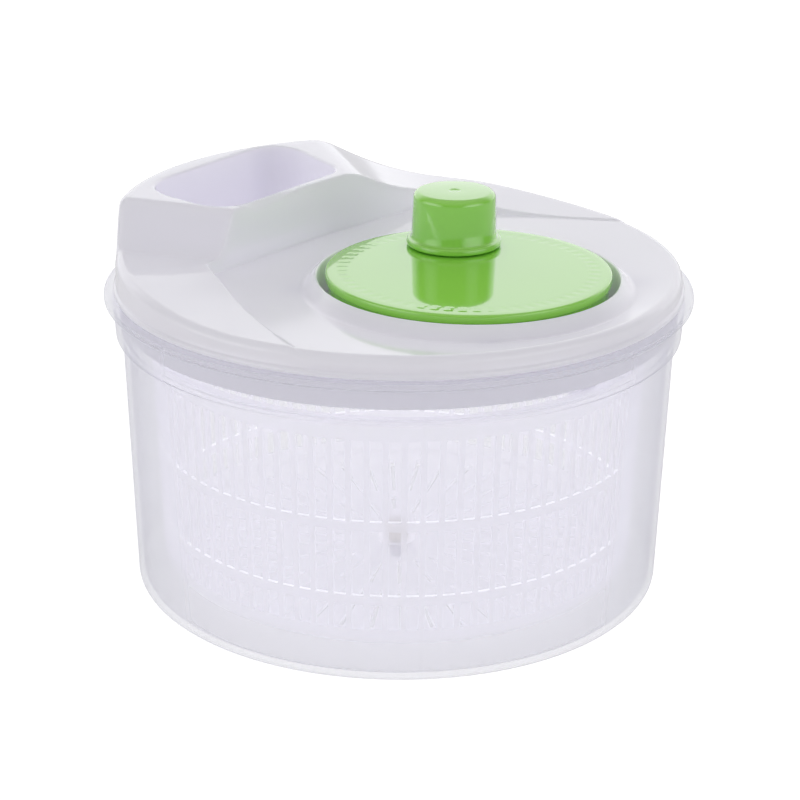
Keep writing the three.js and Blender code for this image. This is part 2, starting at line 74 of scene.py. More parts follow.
BOWL_RIM = BOWL_HIGH.x
BOWL_COLLAR = BOWL_RIM - 4
BOWL_WALL = BOWL_RIM - 7.2
BOWL_FOOT = BOWL_RIM - 10.7
BOWL_STEP = BOWL_HIGH.z - 18.5
BOSS_FOOT, BOSS_RADIUS, BOSS_TOP, BOSS_FLOOR, BOSS_BORE = 9, 7, 8.5, 3.6, 2.8

BASKET_RIM = BASKET_HIGH.x
BASKET_TOP = BASKET_RIM - 5
BASKET_FOOT = BASKET_RIM - 8.4
BASKET_WALL = 1.8
BASKET_STEPS = 264  # facets round the wall
SLOT_PITCH = 3  # facets from one slot to the next
SLOT_ROWS = ((18, 28.6), (32.6, 60.8), (64.8, 99))
FLOOR_SLOTS = ((24, 46, 12, 2), (52, 88, 6, 1))  # inner and outer radius, pitch and width in facets
HUB_BORE, HUB_RADIUS, HUB_TOP = 5.3, 8.2, 22.4
RIB_FOOT, RIB_DEPTH, RIB_WIDTH, RIB_SPREAD, RIB_ARMS = 96, 6, 3, 8.5, 3

LID_RADIUS = 117.3
LID_BEAD = 118.3
BEAD_TOP = 131.6
LID_BOTTOM = 129.2
PLUG = 115.3
PLUG_INNER = 113.1
PLUG_BOTTOM = 116.5
LID_STEPS = 720
COLLAR_BORE = 61.3
COLLAR_CREST = 62.5
COLLAR_FOOT = 67.3
COLLAR_TOP = 140.4
COLLAR_BOTTOM = 126.4

DISC_RADIUS = 58.2
DISC_TOP = 142.6
DISC_UNDER = 138.8
DISC_STEPS = 720
SINK_INNER, SINK_OUTER, SINK_DEPTH, TEETH = 48.5, 54, 0.06, 60
RING_OUTER, RING_INNER, RING_BOTTOM = 57.2, 55, 130.6
DISC_HUB, DISC_HUB_BOTTOM = 9, 134.9
STUB_RADIUS, STUB_BOTTOM, STUB_PILOT, STUB_PILOT_TOP = 4.5, 123.3, 1.8, 134
POST_RADIUS, POST_BORE, POST_HOLE, POST_SHELF, POST_TOP = 8, 5.2, 2.1, 148.5, 151

KNOB_RADIUS, KNOB_FOOT_RADIUS, KNOB_BEAD = 17.2, 17.9, 19.9
SLEEVE_RADIUS, SLEEVE_BORE, SLEEVE_BOTTOM = 10.3, 8.35, 144.4
PEG_RADIUS, PEG_PILOT, PEG_BOTTOM, PEG_PILOT_TOP = 4.5, 1.7, 151.4, 161

# ---------- Modelling helpers ----------


def start_line(name, point):
    """A new piece in edit mode that holds one selected vertex."""
    bpy.ops.object.select_all(action="DESELECT")
    bpy.ops.mesh.primitive_plane_add(size=1, location=(0, 0, 0))
    piece = bpy.context.object
    piece.name = name
    bpy.ops.object.mode_set(mode="EDIT")
    bpy.ops.mesh.select_mode(type="VERT")
    bpy.ops.mesh.select_all(action="SELECT")
    bpy.ops.mesh.merge(type="CENTER")
    bpy.ops.transform.translate(value=point)
    return piece


def draw_line(points):
    """Extrudes the selected vertex from each point to the next."""
    for here, there in zip(points, points[1:]):
        bpy.ops.mesh.extrude_region_move(TRANSFORM_OT_translate={"value": there - here})


def finish_mesh(piece, sharp=30):
    """Closes seams, points the faces outwards and smooths all but the sharp edges."""
    bpy.ops.mesh.select_all(action="SELECT")
    bpy.ops.mesh.remove_doubles(threshold=0.002 * MM)
    bpy.ops.mesh.normals_make_consistent(inside=False)
    bpy.ops.object.mode_set(mode="OBJECT")
    bpy.ops.object.shade_smooth_by_angle(angle=math.radians(sharp))
    return piece


def rounded(corners, segments=5, closed=False):
    """An outline's points, in which each corner, given as (r, z, radius), becomes an arc."""
    places = [Vector(corner[:2]) for corner in corners]
    points = []
    for i, corner in enumerate(corners):
        here = places[i]
        radius = corner[2] if len(corner) > 2 else 0
        at_end = not closed and i in (0, len(corners) - 1)
        if radius == 0 or at_end:
            points.append(here)
            continue
        back = places[i - 1] - here
        on = places[(i + 1) % len(places)] - here
        half = back.angle(on) / 2
        reach = min(radius / math.tan(half), 0.49 * back.length, 0.49 * on.length)
        radius = reach * math.tan(half)
        centre = here + (back.normalized() + on.normalized()).normalized() * radius / math.sin(half)
        first = here + back.normalized() * reach - centre
        last = here + on.normalized() * reach - centre
        sweep = first.angle_signed(last)
        for k in range(segments + 1):
            turn = Matrix.Rotation(-sweep * k / segments, 2)
            points.append(centre + turn @ first)
    return points


def turned(name, corners, steps=96, axis=(0, 0), segments=5, closed=False, sharp=30):
    """A turned piece: an outline of (r, z, corner radius), in millimetres, spun about an axis."""
    outline = rounded(corners, segments, closed)
    if closed:
        outline = outline + outline[:1]
    points = [Vector((axis[0] + r, axis[1], z)) * MM for r, z in outline]
    piece = start_line(name, points[0])
    draw_line(points)
    bpy.ops.mesh.select_all(action="SELECT")
    centre = Vector((axis[0], axis[1], 0)) * MM
    bpy.ops.mesh.spin(steps=steps, angle=TURN, center=centre, axis=(0, 0, 1))
    return finish_mesh(piece, sharp)


def sleeve(name, rows, columns, place):
    """A grid of faces laid out as a closed sleeve, with its vertices at place(row, column), in metres."""
    bpy.ops.object.select_all(action="DESELECT")
    bpy.ops.mesh.primitive_grid_add(x_subdivisions=columns, y_subdivisions=rows - 1, size=2)
    piece = bpy.context.object
    piece.name = name
    for vertex in piece.data.vertices:
        column = round((vertex.co.x + 1) / 2 * columns) % columns
        row = round((vertex.co.y + 1) / 2 * (rows - 1))
        vertex.co = place(row, column)
    return piece


def edit(piece):
    """Opens a piece in edit mode, with nothing selected."""
    bpy.ops.object.select_all(action="DESELECT")
    piece.select_set(True)
    bpy.context.view_layer.objects.active = piece
    bpy.ops.object.mode_set(mode="EDIT")
    bpy.ops.mesh.select_all(action="DESELECT")


def choose_faces(piece, wanted):
    """In edit mode, selects the faces whose centre, in millimetres, is wanted."""
    bpy.ops.mesh.select_mode(type="FACE")
    mesh = bmesh.from_edit_mesh(piece.data)
    for face in mesh.faces:
        face.select_set(wanted(face.calc_center_median() / MM))
    bmesh.update_edit_mesh(piece.data)


def choose_edges(piece, wanted):
    """In edit mode, selects the edges that are wanted."""
    bpy.ops.mesh.select_mode(type="EDGE")
    mesh = bmesh.from_edit_mesh(piece.data)
    for edge in mesh.edges:
        edge.select_set(wanted(edge))
    bmesh.update_edit_mesh(piece.data)


def join(pieces):
    """Joins pieces into the first one."""
    bpy.ops.object.select_all(action="DESELECT")
    for piece in pieces:
        piece.select_set(True)
    bpy.context.view_layer.objects.active = pieces[0]
    bpy.ops.object.join()
    return pieces[0]


def apply_modifier(piece, kind, **settings):
    """Adds a modifier, sets it and applies it."""
    bpy.ops.object.select_all(action="DESELECT")
    piece.select_set(True)
    bpy.context.view_layer.objects.active = piece
    modifier = piece.modifiers.new(kind.title(), kind)
    for key, value in settings.items():
        setattr(modifier, key, value)
    bpy.ops.object.modifier_apply(modifier=modifier.name)
    return piece


def smooth(piece, sharp=30):
    """Smooths all but the sharp edges of a finished piece."""
    bpy.ops.object.select_all(action="DESELECT")
    piece.select_set(True)
    bpy.context.view_layer.objects.active = piece
    bpy.ops.object.shade_smooth_by_angle(angle=math.radians(sharp))
    return piece


def block(name, low, high, angle=0, bevel=0.4):
    """A box between two corners, in millimetres, turned about the bowl's axis, with soft edges."""
    bpy.ops.object.select_all(action="DESELECT")
    bpy.ops.mesh.primitive_cube_add(size=1, location=(0, 0, 0))
    piece = bpy.context.object
    piece.name = name
    low, high = Vector(low) * MM, Vector(high) * MM
    bpy.ops.object.mode_set(mode="EDIT")
    bpy.ops.mesh.select_mode(type="EDGE")
    bpy.ops.mesh.select_all(action="SELECT")
    bpy.ops.transform.resize(value=high - low)
    bpy.ops.transform.translate(value=(low + high) / 2)
    if bevel:
        bpy.ops.mesh.bevel(offset=bevel * MM, segments=2, affect="EDGES")
    bpy.ops.mesh.select_all(action="SELECT")
    bpy.ops.transform.rotate(value=-angle, orient_axis="Z", center_override=(0, 0, 0))
    bpy.ops.object.mode_set(mode="OBJECT")
    return piece


# ---------- Shader maths ----------


class Value:
    """A node's output. Python's operators on it add Math nodes."""

    def __init__(self, tree, socket):
        self.tree = tree
        self.socket = socket

    def math(self, operation, *others):
        return node(self.tree, "ShaderNodeMath", {"operation": operation}, self, *others)

    def __add__(self, other):
        return self.math("ADD", other)

    __radd__ = __add__

    def __mul__(self, other):
        return self.math("MULTIPLY", other)

    __rmul__ = __mul__

    def __sub__(self, other):
        return self.math("SUBTRACT", other)

    def __rsub__(self, other):
        return node(self.tree, "ShaderNodeMath", {"operation": "SUBTRACT"}, other, self)

    def clamped(self):
        return node(self.tree, "ShaderNodeClamp", {}, self)

    def output(self, name):
        """Another output of the same node."""
        return Value(self.tree, self.socket.node.outputs[name])


def node(tree, kind, settings, *values, **named):
    """Any node: its settings are set first, then its sockets' values or links."""
    made = tree.nodes.new(kind)
    for key, value in settings.items():
        if key == "stops":
            ramp = made.color_ramp
            for element, (place, colour) in zip(ramp.elements, value):
                element.position = place
                element.color = colour
        else:
            setattr(made, key, value)
    sockets = [(made.inputs[i], value) for i, value in enumerate(values)]
    sockets += [(made.inputs[key.replace("_", " ")], value) for key, value in named.items()]
    for socket, value in sockets:
        if isinstance(value, Value):
            tree.links.new(value.socket, socket)
        else:
            socket.default_value = value
    return Value(tree, made.outputs[0])


def new_material(name):
    """An empty material, its node tree and its pattern coordinates."""
    material = bpy.data.materials.new(name)
    material.use_nodes = True
    material.node_tree.nodes.clear()
    tree = material.node_tree
    place = node(tree, "ShaderNodeTexCoord", {}).output("Object")
    return material, tree, place


def noise(tree, place, scale, detail=2.0):
    """Soft noise from 0 to 1 over the piece."""
    return node(tree, "ShaderNodeTexNoise", {}, Vector=place, Scale=scale, Detail=detail)


def blend_colour(tree, factor, first, second):
    """A colour between two others."""
    mix = node(tree, "ShaderNodeMix", {"data_type": "RGBA"}, factor).socket.node
    mix.inputs[6].default_value = first
    mix.inputs[7].default_value = second
    return Value(tree, mix.outputs[2])


def bumped(tree, height, strength, distance):
    """A surface normal that follows a height."""
    return node(tree, "ShaderNodeBump", {}, Height=height, Strength=strength, Distance=distance)


def shade(material, tree, **sockets):
    """Ends a material in one Principled shader."""
    surface = node(tree, "ShaderNodeBsdfPrincipled", {}, **sockets)
    output = tree.nodes.new("ShaderNodeOutputMaterial")
    tree.links.new(surface.socket, output.inputs["Surface"])
    return material


# ---------- Materials ----------


def clear_plastic(name, alpha, grazing, base, flow, glow):
    """Milky clear polypropylene: flow lines up the wall, denser at a grazing view, with a painted glow:
    emission that stands in for the light the milky wall passes on.
    """
    material, tree, place = new_material(name)
    stretched = node(tree, "ShaderNodeMapping", {}, Vector=place, Scale=(1, 1, 0.15))
    streaks = noise(tree, stretched, 90, 3)
    cloud = noise(tree, place, 14, 2)
    tint = blend_colour(tree, streaks * 0.5 + cloud * 0.5, base, tuple(c * flow for c in base[:3]) + (1,))
    grain = noise(tree, place, 900, 1)
    normal = bumped(tree, grain + streaks * 2, 0.05, 0.0002)
    rough = cloud * 0.08 + 0.3
    aslant = node(tree, "ShaderNodeLayerWeight", {}, 0.5).output("Facing")
    return shade(
        material, tree, Base_Color=tint, Roughness=rough, Normal=normal, IOR=1.4,
        # The emission is a painted glow, not a lamp: it stands in for light passed through the milky
        # wall.
        Alpha=aslant * aslant * aslant * grazing + alpha, Emission_Color=base, Emission_Strength=glow,
    )


def gloss_plastic(name, base, shadow, rough, peel=0.02, **extra):
    """Injection-moulded gloss plastic: a slight mould ripple and a faint drift of colour."""
    material, tree, place = new_material(name)
    drift = noise(tree, place, 9, 2)
    tint = blend_colour(tree, drift, base, shadow)
    ripple = noise(tree, place, 160, 2)
    fine = noise(tree, place, 1400, 1)
    normal = bumped(tree, ripple + fine * 0.2, peel, 0.0004)
    rough = drift * 0.04 + rough
    return shade(material, tree, Base_Color=tint, Roughness=rough, Normal=normal, IOR=1.5, **extra)


def satin_plastic(name, base, shadow, rough):
    """Plain moulded plastic with a fine spark-eroded grain."""
    material, tree, place = new_material(name)
    grain = noise(tree, place, 1100, 3)
    drift = noise(tree, place, 20, 2)
    tint = blend_colour(tree, drift, base, shadow)
    normal = bumped(tree, grain, 0.12, 0.0002)
    return shade(material, tree, Base_Color=tint, Roughness=grain * 0.15 + rough, Normal=normal)


def turned_steel(name):
    """Bright steel with fine turning marks round each piece's height."""
    material, tree, place = new_material(name)
    rings = node(tree, "ShaderNodeMapping", {}, Vector=place, Scale=(1, 1, 40))
    marks = noise(tree, rings, 260, 2)
    tint = blend_colour(tree, marks, (0.50, 0.51, 0.53, 1), (0.66, 0.66, 0.67, 1))
    normal = bumped(tree, marks, 0.15, 0.0001)
    rough = marks * 0.18 + 0.2
    return shade(material, tree, Base_Color=tint, Metallic=1.0, Roughness=rough, Normal=normal)


# The last number of each is the strength of its painted glow, an emission that stands in for light passed
# through the milky plastic.
BOWL_PLASTIC = clear_plastic("frosted_bowl", 0.195, 0.5, (0.86, 0.855, 0.92, 1), 0.97, 0.03)
BASKET_PLASTIC = clear_plastic("frosted_basket", 0.36, 0.0, (0.93, 0.92, 0.96, 1), 0.98, 0.28)
# A painted highlight: a denser, glowing material for the sill faces that stands in for the light the slot
# rows' sills catch.
SILL_PAINTED_HIGHLIGHT = clear_plastic("sill_painted_highlight", 0.5, 0.0, (0.97, 0.97, 0.99, 1), 0.99, 0.6)
# Its emission is a painted glow that stands in for light passing through the thin white plastic; the
# subsurface scattering is real.
WHITE_GLOSS = gloss_plastic(
    "white_gloss", (0.92, 0.90, 0.985, 1), (0.905, 0.885, 0.97, 1), 0.07,
    Subsurface_Weight=0.5, Subsurface_Scale=0.004, Subsurface_Radius=(1, 1, 1),
    Emission_Color=(0.95, 0.94, 1, 1), Emission_Strength=0.06,
)
WHITE_SATIN = satin_plastic("white_satin", (0.74, 0.73, 0.78, 1), (0.70, 0.69, 0.75, 1), 0.25)
GREEN_GLOSS = gloss_plastic(
    "green_gloss", (0.34, 0.80, 0.09, 1), (0.33, 0.78, 0.085, 1), 0.06, Coat_Weight=1.0, Coat_IOR=1.6,
)
ACETAL = satin_plastic("natural_acetal", (0.74, 0.71, 0.62, 1), (0.70, 0.67, 0.58, 1), 0.3)
STEEL = turned_steel("turned_steel")


def dress(piece, body, nodes, material):
    """Gives a finished piece its material, its body and the nodes that it stands for."""
    piece.data.materials.clear()
    piece.data.materials.append(material)
    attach(piece, body)
    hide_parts(*nodes)
    return piece


# ---------- Bowl and basket ----------


def make_bowl():
    """The clear bowl: rolled rim, band under it, drafted wall and a boss for the pivot pin."""
    height = BOWL_HIGH.z
    outside = [
        (0, 0), (BOWL_FOOT, 0, 5), (BOWL_WALL, BOWL_STEP, 0.8), (BOWL_COLLAR - 0.4, BOWL_STEP + 1, 0.8),
        (BOWL_COLLAR + 0.4, height - 3.2, 0.5), (BOWL_RIM, height - 2.5, 1), (BOWL_RIM, height, 0.9),
    ]
    inside = [
        (BOWL_COLLAR - 1.8, height, 0.9), (BOWL_COLLAR - 2.6, BOWL_STEP + 2.4, 1),
        (BOWL_WALL - SKIN, BOWL_STEP + 0.6, 1), (BOWL_FOOT - SKIN, SKIN, 4.5),
    ]
    boss = [
        (BOSS_FOOT, SKIN, 1), (BOSS_RADIUS, BOSS_TOP, 0.6), (BOSS_BORE, BOSS_TOP, 0.3),
        (BOSS_BORE, BOSS_FLOOR), (0, BOSS_FLOOR),
    ]
    piece = turned("bowl_shell", outside + inside + boss, steps=240)
    return dress(piece, "bowl", ["bowl"], BOWL_PLASTIC)


def make_basket():
    """The clear basket: three rows of upright slots, slotted floor, rim flange, hub and drive ribs."""
    floor, top = BASKET_LOW.z, BASKET_HIGH.z
    flange = top - BASKET_WALL - 0.1
    draft = (BASKET_TOP - BASKET_FOOT) / (flange - floor)
    wall = [(BASKET_FOOT + draft * (z - floor), z) for row in SLOT_ROWS for z in row]
    rings = [(HUB_BORE, floor)] + [(radius, floor) for slots in FLOOR_SLOTS for radius in slots[:2]]
    corner = rounded([rings[-1], (BASKET_FOOT, floor, 4), wall[0]], 4)[1:-1]
    lip = rounded([wall[-1], (BASKET_TOP, flange, 1), (BASKET_RIM - 0.05, flange)], 4)[1:]
    outline = [Vector(point[:2]) for point in rings] + corner + [Vector(point) for point in wall] + lip
    points = [Vector((r, 0, z)) * MM for r, z in outline]
    piece = start_line("basket_shell", points[0])
    draw_line(points)
    bpy.ops.mesh.select_all(action="SELECT")
    bpy.ops.mesh.spin(steps=BASKET_STEPS, angle=TURN, center=(0, 0, 0), axis=(0, 0, 1))
    finish_mesh(piece)
    edit(piece)
    choose_faces(piece, is_slot)
    bpy.ops.mesh.delete(type="FACE")
    bpy.ops.object.mode_set(mode="OBJECT")
    apply_modifier(piece, "SOLIDIFY", thickness=BASKET_WALL * MM, offset=-1, use_even_offset=True)
    limit = {"limit_method": "ANGLE", "angle_limit": math.radians(60)}
    apply_modifier(piece, "BEVEL", width=0.25 * MM, segments=1, **limit)
    roof = HUB_TOP - SKIN
    outline = [
        (HUB_BORE, floor + 0.2), (HUB_RADIUS, floor + 0.2), (HUB_RADIUS, HUB_TOP, 1),
        (0, HUB_TOP), (0, roof), (HUB_BORE, roof),
    ]
    hub = turned("hub", outline, 48)
    rib_face = BASKET_TOP - BASKET_WALL + 0.4
    ribs = []
    for arm in range(RIB_ARMS):
        for side in (-1, 1):
            low = (rib_face - RIB_DEPTH, side * RIB_SPREAD - RIB_WIDTH / 2, RIB_FOOT)
            high = (rib_face, side * RIB_SPREAD + RIB_WIDTH / 2, flange)
            ribs.append(block("rib", low, high, TURN * arm / RIB_ARMS, 0.5))
    smooth(join([piece, hub, *ribs]))
    dress(piece, "basket", ["basket"], BASKET_PLASTIC)
    # The upward sill faces of the lower two slot rows get the painted highlight material, which glows to
    # stand in for light caught on the sills.
    piece.data.materials.append(SILL_PAINTED_HIGHLIGHT)
    for face in piece.data.polygons:
        centre = face.center / MM
        sill_gets_painted_highlight = any(abs(centre.z - low) < 0.4 for low, _ in SLOT_ROWS[1:])
        if sill_gets_painted_highlight and face.normal.z > 0.7 and math.hypot(centre.x, centre.y) > BASKET_FOOT - 3:
            face.material_index = 1
    return piece


def is_slot(centre):
    """Whether a face of the basket's skin lies in a slot of its wall or floor."""
    column = math.floor((math.atan2(centre.y, centre.x) % TURN) / TURN * BASKET_STEPS)
    radius = math.hypot(centre.x, centre.y)
    if radius > BASKET_FOOT - 3:
        return column % SLOT_PITCH > 0 and any(low < centre.z < high for low, high in SLOT_ROWS)
    return any(
        inner < radius < outer and column % pitch < width for inner, outer, pitch, width in FLOOR_SLOTS
    )


# ---------- The lid's skin ----------

DECK_RIM = 138.5
DISH = 3.3
EDGE = 3.5
HUMP_LIFT = 2.6
TERRACE_RISE = 5
TERRACE_FROM = math.radians(78)
TERRACE_SPAN = math.radians(45)
WALL_X, WALL_BOW, BOW_SPAN, WALL_SLOPE = -44.6, 2, 46, 9
FRONT_AT, FRONT_NORMAL, FRONT_SLOPE = Vector((-45.9, -49.2)), Vector((0.349, -0.937)), 1.55
BACK_AT, BACK_NORMAL, BACK_SLOPE = Vector((-46.2, 24.7)), Vector((0.563, 0.827)), 0.51
TAIL_ANGLE = math.radians(25)
TAIL_FRONT, TAIL_BACK = 80.5, 84
PORT = ((-49.5, -53, 18), (-101.5, -51.5, 22), (-111, 45.5, 26), (-55.5, 26.5, 10))  # x, y, corner radius
PORT_BOTTOM = 121
PORT_WALL = 2
LIP = 1.3
EAR_RADIUS, EAR_PILOT, EAR_PILOT_TOP = 4.4, 1.9, 132.5


def clamp(value):
    """A value kept between 0 and 1."""
    return min(1, max(0, value))


def ease(value):
    """A smooth step from 0 to 1."""
    return clamp(value) ** 2 * (3 - 2 * clamp(value))


def soft_max(a, b, width):
    """The greater of two heights, with a fillet where they meet."""
    return max(a, b) + width / 4 * max(0, 1 - abs(a - b) / width) ** 2


def soft_min(a, b, width):
    """The lesser of two heights, with a round where they meet."""
    return -soft_max(-a, -b, width)


def beyond_deck(x, y):
    """How far a point is beyond the foot of the wall and creases that border the inner deck."""
    wall = WALL_X - WALL_BOW * (1 - (y / BOW_SPAN) ** 2) - x
    out = -math.sin(TAIL_ANGLE) * x + math.cos(TAIL_ANGLE) * abs(y)
    return max(wall, out - (TAIL_FRONT if y < 0 else TAIL_BACK))


def slope_height(at, normal, slope, point, skin):
    """A sloping face that passes through the hump's top edge."""
    return HUMP_TOP - slope * (point - at).dot(normal) - skin * math.hypot(1, slope)


def lid_height(x, y, skin=0):
    """Height of the lid's top skin; a skin above 0 gives its inner face."""
    point = Vector((x, y))
    radius = point.length
    from_disc = (point - DISC_AXIS).length
    from_collar = max(0, from_disc - COLLAR_FOOT)
    to_rim = max(0, LID_RADIUS - radius)
    dish = DISH * (1 - from_collar / (from_collar + to_rim + 1e-6))
    deck = DECK_RIM - dish + HUMP_LIFT * ease((-x - 10) / 35) * clamp(to_rim / 40) - skin
    azimuth = abs(math.atan2(y, x))
    terrace = deck + TERRACE_RISE * ease((azimuth - TERRACE_FROM) / TERRACE_SPAN)
    front = slope_height(FRONT_AT, FRONT_NORMAL, FRONT_SLOPE, point, skin)
    back = slope_height(BACK_AT, BACK_NORMAL, BACK_SLOPE, point, skin)
    hump = soft_min(HUMP_TOP - skin, soft_min(front, back, 2), 3)
    outer = soft_max(terrace, hump, 5 if y < 0 else 12)
    wall = deck + WALL_SLOPE * (beyond_deck(x, y) - skin)
    height = soft_max(deck, soft_min(outer, wall, 9), 2.5)
    if skin == 0:
        cone = COLLAR_TOP - (from_disc - COLLAR_CREST) * 1.08
        height = soft_max(height, cone, 2)
    over_edge = clamp((radius + skin - LID_RADIUS + EDGE) / EDGE)
    return height - EDGE * (1 - math.sqrt(1 - over_edge ** 2))


def spread(first, last, count, whole=False):
    """Evenly spaced values from the first up to the last, which is left out unless whole."""
    return [first + (last - first) * i / (count - whole) for i in range(count)]


def ray_to_rim(way, radius):
    """Distance from the disc's axis, along a direction, to a circle about the bowl's axis."""
    along = DISC_AXIS.dot(way)
    return -along + math.sqrt(along ** 2 + radius ** 2 - DISC_AXIS.length_squared)


def ray_to_step(way, far):
    """Distance from the disc's axis, along a direction, to the edge of the inner deck."""
    near = COLLAR_FOOT
    for _ in range(24):
        half = (near + far) / 2
        point = DISC_AXIS + way * half
        if beyond_deck(point.x, point.y) > 0:
            far = half
        else:
            near = half
    return near


def lid_section(angle):
    """One closed section of the lid, in a plane through the disc's axis."""
    way = Vector((math.cos(angle), math.sin(angle)))
    rim = ray_to_rim(way, LID_RADIUS - EDGE)
    deck = COLLAR_FOOT + 3
    foot = min(ray_to_step(way, rim), rim - min(12, (rim - deck) / 2))
    before, after = foot - deck, rim - foot
    stops = [
        COLLAR_CREST + 0.6, deck, foot - min(5, before / 2), foot - min(0.8, before / 4),
        foot + min(3.8, after / 3), foot + min(9, after / 1.5), rim,
    ]
    out = []
    for first, last, count in zip(stops, stops[1:], (9, 7, 5, 20, 7, 14)):
        out += spread(first, last, count)
    edge_way = (DISC_AXIS + way * ray_to_rim(way, LID_RADIUS)).normalized()
    section = [(COLLAR_BORE, COLLAR_BOTTOM), (COLLAR_BORE, COLLAR_TOP - 1.2)]
    section += [(COLLAR_BORE + 0.35, COLLAR_TOP - 0.35), (COLLAR_BORE + 0.95, COLLAR_TOP)]
    points = [(DISC_AXIS + way * r, z) for r, z in section]
    for r in out:
        point = DISC_AXIS + way * r
        points.append((point, min(lid_height(point.x, point.y), HUMP_TOP)))
    for turn in spread(0, math.pi / 2, 8, whole=True):
        place = edge_way * (LID_RADIUS - EDGE + EDGE * math.sin(turn) * 0.9999)
        points.append((place, lid_height(place.x, place.y)))
    side = [
        (LID_RADIUS, BEAD_TOP + 0.5), (LID_RADIUS + 0.25, BEAD_TOP + 0.1),
        (LID_BEAD - 0.3, BEAD_TOP - 0.15), (LID_BEAD, BEAD_TOP - 0.6),
        (LID_BEAD, LID_BOTTOM + 0.4), (LID_BEAD - 0.4, LID_BOTTOM),
        (PLUG + 0.3, LID_BOTTOM), (PLUG, LID_BOTTOM - 0.3),
        (PLUG, PLUG_BOTTOM + 0.6), (PLUG - 0.6, PLUG_BOTTOM),
        (PLUG_INNER + 0.3, PLUG_BOTTOM), (PLUG_INNER, PLUG_BOTTOM + 0.3),
    ]
    points += [(edge_way * r, z) for r, z in side]
    inner_rim = ray_to_rim(way, PLUG_INNER)
    inner_foot = min(ray_to_step(way, rim) + SKIN, inner_rim - 8)
    under = (
        spread(inner_rim, inner_foot + 4, 5) + spread(inner_foot + 4, inner_foot - 1, 8)
        + spread(inner_foot - 1, COLLAR_BORE + SKIN, 6, whole=True)
    )
    for r in under:
        point = DISC_AXIS + way * r
        points.append((point, lid_height(point.x, point.y, SKIN)))
    points.append((DISC_AXIS + way * (COLLAR_BORE + SKIN), COLLAR_BOTTOM))
    return [Vector((point.x, point.y, z)) * MM for point, z in points]


def port_outline():
    """The filling port's outline, with a curve at each corner, as points and outward normals."""
    points = []
    for i, (x, y, radius) in enumerate(PORT):
        here = Vector((x, y))
        back = (Vector(PORT[i - 1][:2]) - here).normalized() * radius
        on = (Vector(PORT[(i + 1) % len(PORT)][:2]) - here).normalized() * radius
        for t in spread(0, 1, 16, whole=True):
            points.append(here + back * (1 - t) ** 2 + on * t ** 2)
        after = Vector(PORT[(i + 1) % len(PORT)][:2])
        reach = PORT[(i + 1) % len(PORT)][2]
        start, end = points[-1], after + (here - after).normalized() * reach
        points += [start.lerp(end, t) for t in spread(0, 1, 12)[1:]]
    outline = []
    for i, point in enumerate(points):
        along = (points[(i + 1) % len(points)] - points[i - 1]).normalized()
        outline.append((point, Vector((-along.y, along.x))))
    centre = sum((point for point, _ in outline), Vector((0, 0))) / len(outline)
    if (outline[0][0] - centre).dot(outline[0][1]) < 0:
        outline = [(point, -normal) for point, normal in outline]
    return outline


def inside_port(outline, x, y, grow):
    """Whether (x, y) is inside the port's outline grown by a margin."""
    inside = False
    ring = [point + normal * grow for point, normal in outline]
    for a, b in zip(ring, ring[1:] + ring[:1]):
        if (a.y > y) != (b.y > y) and x < a.x + (y - a.y) / (b.y - a.y) * (b.x - a.x):
            inside = not inside
    return inside


def make_port(outline):
    """The chimney under the filling port, with its rounded lip on the hump's top."""
    arcs = spread(math.pi / 2, 0, 6, whole=True)
    rows = [(LIP * (1 - math.cos(turn)), HUMP_TOP - LIP * (1 - math.sin(turn))) for turn in arcs]
    rows += [(0, z) for z in spread(HUMP_TOP - LIP, PORT_BOTTOM + 0.5, 6)[1:]]
    rows += [(0.1, PORT_BOTTOM + 0.4), (0.5, PORT_BOTTOM), (PORT_WALL - 0.4, PORT_BOTTOM)]
    rows += [(PORT_WALL, PORT_BOTTOM + 0.4), (PORT_WALL, HUMP_TOP - SKIN)]

    def place(row, column):
        point, normal = outline[column]
        grow, z = rows[row]
        point = point + normal * grow
        if row == 0:
            z = lid_height(point.x, point.y)
        if row == len(rows) - 1:
            z = lid_height(point.x, point.y, SKIN)
        return Vector((point.x, point.y, z)) * MM

    return sleeve("port", len(rows), len(outline), place)


def on_top(point):
    """Whether a point of the lid is on its top skin and not on the inner one."""
    return point.z > lid_height(point.x, point.y) - SKIN / 2


def make_lid():
    """The white lid: collar, dished deck, creases, hump with its filling port, skirt and plug."""
    sections = [lid_section(TURN * i / LID_STEPS) for i in range(LID_STEPS)]
    size = len(sections[0])
    piece = sleeve("lid_shell", size + 1, LID_STEPS, lambda row, column: sections[column][row % size])
    outline = port_outline()
    edit(piece)
    bpy.ops.mesh.select_all(action="SELECT")
    bpy.ops.mesh.remove_doubles(threshold=0.002 * MM)
    for is_top, margin in ((True, LIP + 1.8), (False, PORT_WALL + 0.8)):
        choose_faces(
            piece, lambda c: c.z > HUMP_TOP - 6 and on_top(c) == is_top
            and inside_port(outline, c.x, c.y, margin)
        )
        bpy.ops.mesh.delete(type="FACE")
    bpy.ops.object.mode_set(mode="OBJECT")
    port = make_port(outline)
    join([piece, port])
    edit(piece)
    for is_top in (True, False):
        choose_edges(piece, lambda e: len(e.link_faces) == 1 and on_top(e.verts[0].co / MM) == is_top)
        bpy.ops.mesh.fill(use_beauty=True)
    finish_mesh(piece, 35)
    bosses = []
    for x, y in ear_places():
        roof = lid_height(x, y, SKIN) + 1
        profile = [
            (0, EAR_PILOT_TOP), (EAR_PILOT, EAR_PILOT_TOP), (EAR_PILOT, COLLAR_BOTTOM),
            (EAR_RADIUS, COLLAR_BOTTOM, 0.5), (EAR_RADIUS + 0.4, roof), (0, roof),
        ]
        bosses.append(turned("boss", profile, 32, (x, y)))
    join([piece, *bosses])
    return dress(piece, "lid", ["lid"], WHITE_GLOSS)


def ear_places():
    """Where the four tray screws stand."""
    return [(middle(f"tray_screw_{i}").x, middle(f"tray_screw_{i}").y) for i in range(1, 5)]


